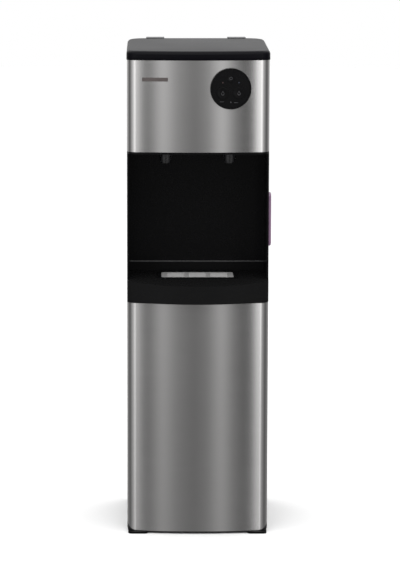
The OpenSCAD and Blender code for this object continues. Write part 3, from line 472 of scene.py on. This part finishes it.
def top_cover():
    skirt = [(COVER_WALL, COVER_SKIRT), (COVER_WALL, 0), (SOFT, 0), (0.0, SOFT), (0.0, COVER_SKIRT)]
    turns = [math.pi / 28 * i for i in range(15)]
    edge = [(COVER_EDGE * (1 - math.cos(t)), COVER_EDGE * (math.sin(t) - 1)) for t in turns]
    crown = [(12, 0.12), (20, 0.32), (32, 0.54), (50, 0.72), (70, 0.79)]
    rings = [cover_ring(COVER_WALL + 2, COVER_TOP - 4, TILT)]
    rings += [cover_ring(d, PANEL_Z[1] + h) for d, h in skirt]
    rings += [cover_ring(d, COVER_TOP + h, TILT) for d, h in edge + crown]
    verts, faces = loft(rings)
    finish_mesh("top_cover_moulding", verts, faces, "cover_grey", "cabinet", sharp=50,
                replaces=("top_cover",))


top_cover()

# ---------- control pod: buttons with dished caps and plain symbols ----------

# in the pod's own frame X is right, Y is up and Z points out of its face
POD_A = math.asin(POD_X / BOW)
POD = (Matrix.Translation((POD_X, BOW_Y - BOW * math.cos(POD_A), POD_Z))
       @ Matrix.Rotation(POD_A, 4, "Z") @ Matrix.Rotation(math.radians(90), 4, "X"))
BUTTONS = {"hot": (-17, -9, 12.5), "cold": (17, -9, 12.5), "lock": (0, 22, 8)}  # X, Y and radius
CAP_FACE, CAP_DISH = 6.2, 0.55                  # height of a cap's rim over the steel, and its dish
POD_FACE = 4.9                                  # height of the pod's face over the steel
LOCK_RING = 3.2


def button_cap(name, x, y, r):
    stem_r, back_z, soft = 2, -0.4, 0.8
    flange_r, flange_z = r + 1.4, (1.6, 3.2)
    cap = [(0, back_z), (stem_r, back_z), (stem_r, flange_z[0]), (flange_r, flange_z[0]),
           (flange_r, flange_z[1]), (r, flange_z[1])]
    turns = [math.pi / 2 * i / 5 for i in range(6)]
    cap += [(r - soft + soft * math.cos(t), CAP_FACE - soft + soft * math.sin(t)) for t in turns]
    cap += [(r * k, CAP_FACE - CAP_DISH * (1 - k * k / 0.72)) for k in (0.82, 0.66, 0.5, 0.33, 0.16, 0.0)]
    verts, faces = lathe(cap, POD @ Matrix.Translation((x, y, 0)))
    finish_mesh(name + "_button_cap", verts, faces, "gloss_black", name + "_button",
                replaces=("button_" + name,))


def flat_mark(name, outline, x, y, z, look, body, thick=0.25, hole=None):
    """Thin raised mark from an outline in the pod's face, with an optional hole of as many points."""
    def ring(shape, height):
        return [tuple(POD @ Vector((x + px, y + py, height))) for px, py in shape]

    low, high = ring(outline, z), ring(outline, z + thick)
    if hole:
        verts, faces = loft([ring(hole, z), low, high, ring(hole, z + thick), ring(hole, z)], caps=False)
    else:
        verts, faces = loft([low, high])
    finish_mesh(name, verts, faces, look, body, bevel=0.06)


def drop(s):
    """Outline of a water drop, s mm from its middle to its tip."""
    bowl = arc(0, -0.25 * s, 0.62 * s, -200, 20, 20)
    return bowl + [(0.28 * s, 0.45 * s), (0, s), (-0.28 * s, 0.45 * s)]


for name, (x, y, r) in BUTTONS.items():
    button_cap(name, x, y, r)
for name in ("hot", "cold"):
    x, y, _ = BUTTONS[name]
    flat_mark(name + "_drop_mark", drop(5.2), x, y, CAP_FACE - 0.65, "grey_ink", name + "_button",
              hole=drop(3.6))
x, y, _ = BUTTONS["lock"]
flat_mark("lock_ring_mark", circle(LOCK_RING, 40), x, y, CAP_FACE - 0.6, "grey_ink", "lock_button",
          hole=circle(0.68 * LOCK_RING, 40))
for k, (x, y, ink) in enumerate(((-17, 13, "red_ink"), (17, 13, "blue_ink"), (0, -28, "grey_ink"))):
    flat_mark("indicator_%d" % k, circle(1.5, 24), x, y, POD_FACE, ink, "cabinet", thick=0.45)
for k, (x, y) in enumerate(((-19, -27), (11, -29))):
    bar = [(-4, -0.5), (4, -0.5), (4.4, 0), (4, 0.5), (-4, 0.5), (-4.4, 0)]
    flat_mark("legend_bar_%d" % k, bar, x, y, POD_FACE, "grey_ink", "cabinet", thick=0.3)

# ---------- bead along the top of the upstand behind the tray ----------

BEAD_R = 2.0
bead_end, bead_y, bead_z = UPSTAND_HALF - 0.4, UPSTAND_Y + 1.4, UPSTAND_Z - 1.8
tube("upstand_bead", [(-bead_end, bead_y, bead_z), (bead_end, bead_y, bead_z)], BEAD_R, "bead_black",
     "cabinet")

# ---------- side light lens: domed, with a thin rim ----------

def stadium(inset, x):
    """Outline of the light, an upright slot, inset all round and in the plane at x."""
    w, h = LENS_W - 2 * inset, LENS_H - 2 * inset
    r = w / 2
    pts = arc(0, h / 2 - r, r, 0, 180, 20) + arc(0, -(h / 2 - r), r, 180, 360, 20)
    return [(x, LENS_Y + a, LENS_Z + b) for a, b in pts]


def side_light():
    shoulder, rise, hollow, plug = 3.4, 3.3, 5, 2.5
    seat_x, face_x, dome_x, top_x = HALF_W - LENS_SEAT, HALF_W + 0.05, HALF_W + 2.4, HALF_W + LENS_PROUD
    rings = [stadium(hollow, top_x - 3), stadium(hollow, seat_x), stadium(plug, seat_x),
             stadium(plug, face_x), stadium(0, face_x), stadium(0, dome_x)]
    turns = [math.pi / 2 * i / 8 for i in range(1, 9)]
    rings += [stadium(shoulder * (1 - math.cos(t)), dome_x + rise * math.sin(t)) for t in turns]
    rings += [stadium(6, top_x - 0.1), stadium(9, top_x)]
    verts, faces = loft(rings)
    finish_mesh("side_light_dome", verts, faces, "lens_purple", "cabinet", sharp=40,
                replaces=("side_light_lens",))


side_light()

# ---------- spouts: turned nozzles with a flange under the alcove's ceiling ----------

# (radius, height over the tip), round the nozzle's wall and back to its start
SPOUT_WALL = [(4.5, 0.6), (4.9, 0.1), (9.6, 0), (10.6, 0.3), (11.3, 1.1), (12.2, 5), (12.9, 12),
              (13.4, 19.4), (14.2, 21.4), (16.4, 22.4), (18.4, 22.9), (19, 23.6), (19, 26), (7.9, 26),
              (7.9, 43.5), (4.5, 43.5), (4.5, 0.6)]
for side, node in ((-1, "spout_hot"), (1, "spout_cold")):
    place = Matrix.Translation((SPOUT_X * side, SPOUT_Y, SPOUT_Z))
    verts, faces = lathe(SPOUT_WALL, place, segs=64, caps=False)
    finish_mesh(node + "_turned", verts, faces, "spout_black", "cabinet", replaces=(node,))

# ---------- back: screws with a cross recess, and the condenser ----------

def cross_cutter(x, z):
    """Cross-shaped prism that cuts the recess of a screw head."""
    half, arm, depth = 0.35, 1.6, (REAR + 1.6, REAR + 3.2)
    outline = [(a * u - b * v, a * v + b * u) for u, v in ((1, 0), (0, 1), (-1, 0), (0, -1))
               for a, b in ((half, -half), (arm, -half), (arm, half))]
    verts, faces = loft([[(x + a, y, z + b) for a, b in outline] for y in depth])
    cutter = bpy.data.objects.new("cross_cutter", plain_mesh("cross_cutter", verts, faces))
    bpy.context.scene.collection.objects.link(cutter)
    return cutter


def back_screw(name, x, z):
    head = [(0, 0), (3.5, 0), (3.5, 0.9), (3.2, 1.5), (2.6, 1.95), (1.8, 2.25), (0.9, 2.38), (0, 2.4)]
    to = Matrix.Translation((x, REAR, z)) @ Matrix.Rotation(math.radians(-90), 4, "X")
    verts, faces = lathe(head, to, segs=32)
    obj = finish_mesh(name, verts, faces, "galvanised", "cabinet", replaces=("back_screws",))
    cutter = cross_cutter(x, z)
    mod = obj.modifiers.new("cross", "BOOLEAN")
    mod.operation = "DIFFERENCE"
    mod.object = cutter
    bpy.context.view_layer.update()
    shape = obj.evaluated_get(bpy.context.evaluated_depsgraph_get())
    cut_mesh = bpy.data.meshes.new_from_object(shape)
    obj.modifiers.clear()
    obj.data = cut_mesh
    bpy.data.objects.remove(cutter)


def condenser():
    """Serpentine tube with upright wires welded behind it."""
    bend_r, wires, wire_pitch = COIL_PITCH / 2, 19, 8.8
    wire_y, wire_ends = COIL_Y + 3, (82, 908)
    pts = []
    for i in range(COIL_ROWS):
        z = COIL_TOP - COIL_PITCH * i
        side = 1 if i % 2 == 0 else -1
        pts += [(-COIL_HALF * side, COIL_Y, z), (COIL_HALF * side, COIL_Y, z)]
        if i < COIL_ROWS - 1:
            pts += [(side * (COIL_HALF + bend_r * math.sin(t)), COIL_Y, z - bend_r + bend_r * math.cos(t))
                    for t in (math.pi * j / 14 for j in range(1, 14))]
    tube("condenser_coil", pts, 2.5, "painted_black", "cabinet", res=10, replaces=("condenser",))
    for i in range(wires):
        x = (i - (wires - 1) / 2) * wire_pitch
        line = [(x, wire_y, z) for z in (wire_ends[0], sum(wire_ends) / 2, wire_ends[1])]
        tube("condenser_wire_%02d" % i, line, 0.8, "painted_black", "cabinet", res=6,
             replaces=("condenser",))


for k, z in enumerate(SCREW_ROWS):
    back_screw("back_screw_%d_left" % k, -SCREW_X, z)
    back_screw("back_screw_%d_right" % k, SCREW_X, z)
condenser()

# ---------- door seal: soft strip round the mouth, behind the door ----------

seal_x, seal_y, seal_z = (-139, 121), -118.9, (22, 482)
seal_path = [(seal_x[i], seal_y, seal_z[j]) for i, j in ((0, 0), (0, 1), (1, 1), (1, 0), (0, 0))]
tube("door_seal", seal_path, 1.05, "door_seal_rubber", "door", bend=6)

# ---------- scene: floor, lights, studio, camera; lengths in metres ----------

def floor_disc():
    bm = bmesh.new()
    bmesh.ops.create_circle(bm, cap_ends=True, radius=12.0, segments=128)
    me = bpy.data.meshes.new("studio_floor")
    bm.to_mesh(me)
    bm.free()
    me.materials.append(material("pale_floor", (0.86, 0.86, 0.86), 0.75, level=0.2, vary=0.01, grain=8,
                                 bump=0.0))
    obj = bpy.data.objects.new("studio_floor", me)
    obj.location = (0, 3, -0.0005)
    obj.visible_glossy = False
    bpy.context.scene.collection.objects.link(obj)


def area_light(name, where, target, w, h, radiance):
    li = bpy.data.lights.new(name, "AREA")
    li.shape = "RECTANGLE"
    li.size, li.size_y = w, h
    li.energy = radiance * math.pi * w * h
    obj = bpy.data.objects.new(name, li)
    obj.location = where
    obj.rotation_mode = "QUATERNION"
    obj.rotation_quaternion = (Vector(target) - Vector(where)).to_track_quat("-Z", "Y")
    bpy.context.scene.collection.objects.link(obj)
    obj.visible_camera = False


floor_disc()
area_light("overhead", (0.0, 0.6, 3.4), (0.0, 0.6, 0.0), 4.5, 4.5, 0.9)
area_light("front_top", (0.0, -2.3, 2.5), (0, -0.1, 0.55), 1.6, 0.7, 4.0)

# Soft light round the object. Each band is a heading in degrees, 0 straight ahead of the front and
# positive towards +X, and a radiance. The ramps below run by rise: 0 is straight down, 0.5 level and
# 1 straight up.
SOFT_BANDS = [
    (-180, 0.6), (-140, 0.68), (-112, 0.3), (-92, 0.12), (-72, 0.45), (-46, 1.0), (-32, 1.6),
    (-18.8, 1.5), (-16.8, 0.45), (-15.2, 0.13), (-13.4, 0.25), (-10.2, 0.82), (-5.4, 0.37),
    (0, 0.20), (4.4, 0.34), (8.5, 0.86), (12.2, 0.31), (15.6, 0.07), (18.4, 0.11), (19.6, 1.8),
    (31, 1.9), (42, 0.9), (58, 0.5), (86, 0.12), (112, 0.3), (140, 0.68), (180, 0.6),
]
BAND_SCALE = 2.0                                # a ramp holds values up to 1, so bands are halved in it
LEVEL = [(0, 0.42), (0.34, 0.45), (0.40, 0.65), (0.456, 0.91), (0.468, 1.12), (0.5, 1.15), (1, 1.15)]
HAZE = [(0, 0.5), (0.36, 0.45), (0.42, 0.25), (0.465, 0.0)]
ABOVE = [(0.5, 0.0), (0.62, 0.0), (0.86, 1.0)]
HAZE_LIGHT, ABOVE_LIGHT = 0.25, 1.35


def studio_world():
    world = bpy.data.worlds.new("studio")
    world.use_nodes = True
    tree = world.node_tree
    bg = tree.nodes["Background"]

    def add(kind, inputs=(), **props):
        """New node: inputs are (index, value or source socket) pairs."""
        n = tree.nodes.new(kind)
        for key, value in props.items():
            setattr(n, key, value)
        for k, source in inputs:
            if hasattr(source, "links"):
                tree.links.new(source, n.inputs[k])
            else:
                n.inputs[k].default_value = source
        return n

    def maths(operation, *values):
        return add("ShaderNodeMath", enumerate(values), operation=operation).outputs[0]

    def blend(factor, a, b):
        return add("ShaderNodeMix", ((0, factor), (2, a), (3, b))).outputs[0]

    def ramp(stops, value):
        n = add("ShaderNodeValToRGB", ((0, value),))
        while len(n.color_ramp.elements) < len(stops):
            n.color_ramp.elements.new(0.5)
        for e, (at, v) in zip(n.color_ramp.elements, stops):
            e.position = at
            e.color = (v, v, v, 1)
        return n.outputs["Color"]

    heading = add("ShaderNodeSeparateXYZ", ((0, add("ShaderNodeTexCoord").outputs["Generated"]),)).outputs
    angle = maths("ARCTAN2", heading["X"], maths("MULTIPLY", heading["Y"], -1.0))
    turn = maths("MULTIPLY_ADD", angle, 1 / (2 * math.pi), 0.5)
    rise = maths("MULTIPLY_ADD", heading["Z"], 0.5, 0.5)
    bands = ramp([((a + 180) / 360, v / BAND_SCALE) for a, v in SOFT_BANDS], turn)
    low = maths("MULTIPLY", maths("MULTIPLY", bands, ramp(LEVEL, rise)), BAND_SCALE)
    low = blend(ramp(HAZE, rise), low, HAZE_LIGHT)
    tree.links.new(blend(ramp(ABOVE, rise), low, ABOVE_LIGHT), bg.inputs["Color"])
    white = add("ShaderNodeBackground")
    white.inputs["Color"].default_value = (1, 1, 1, 1)
    seen = add("ShaderNodeLightPath").outputs["Is Camera Ray"]
    mix = add("ShaderNodeMixShader", ((0, seen), (1, bg.outputs[0]), (2, white.outputs[0])))
    tree.links.new(mix.outputs["Shader"], tree.nodes["World Output"].inputs["Surface"])
    bpy.context.scene.world = world
    bpy.context.scene.view_settings.view_transform = "Standard"


def add_camera():
    cam = bpy.data.cameras.new("camera")
    cam.sensor_width = 36
    cam.lens = 151.465
    cam.shift_x, cam.shift_y = 0.0865, -0.12
    obj = bpy.data.objects.new("camera", cam)
    obj.location = (-0.1, -5.16, 1.329)
    obj.rotation_euler = (math.pi / 2 - 0.1283, 0, 0)
    bpy.context.scene.collection.objects.link(obj)
    bpy.context.scene.camera = obj


studio_world()
add_camera()
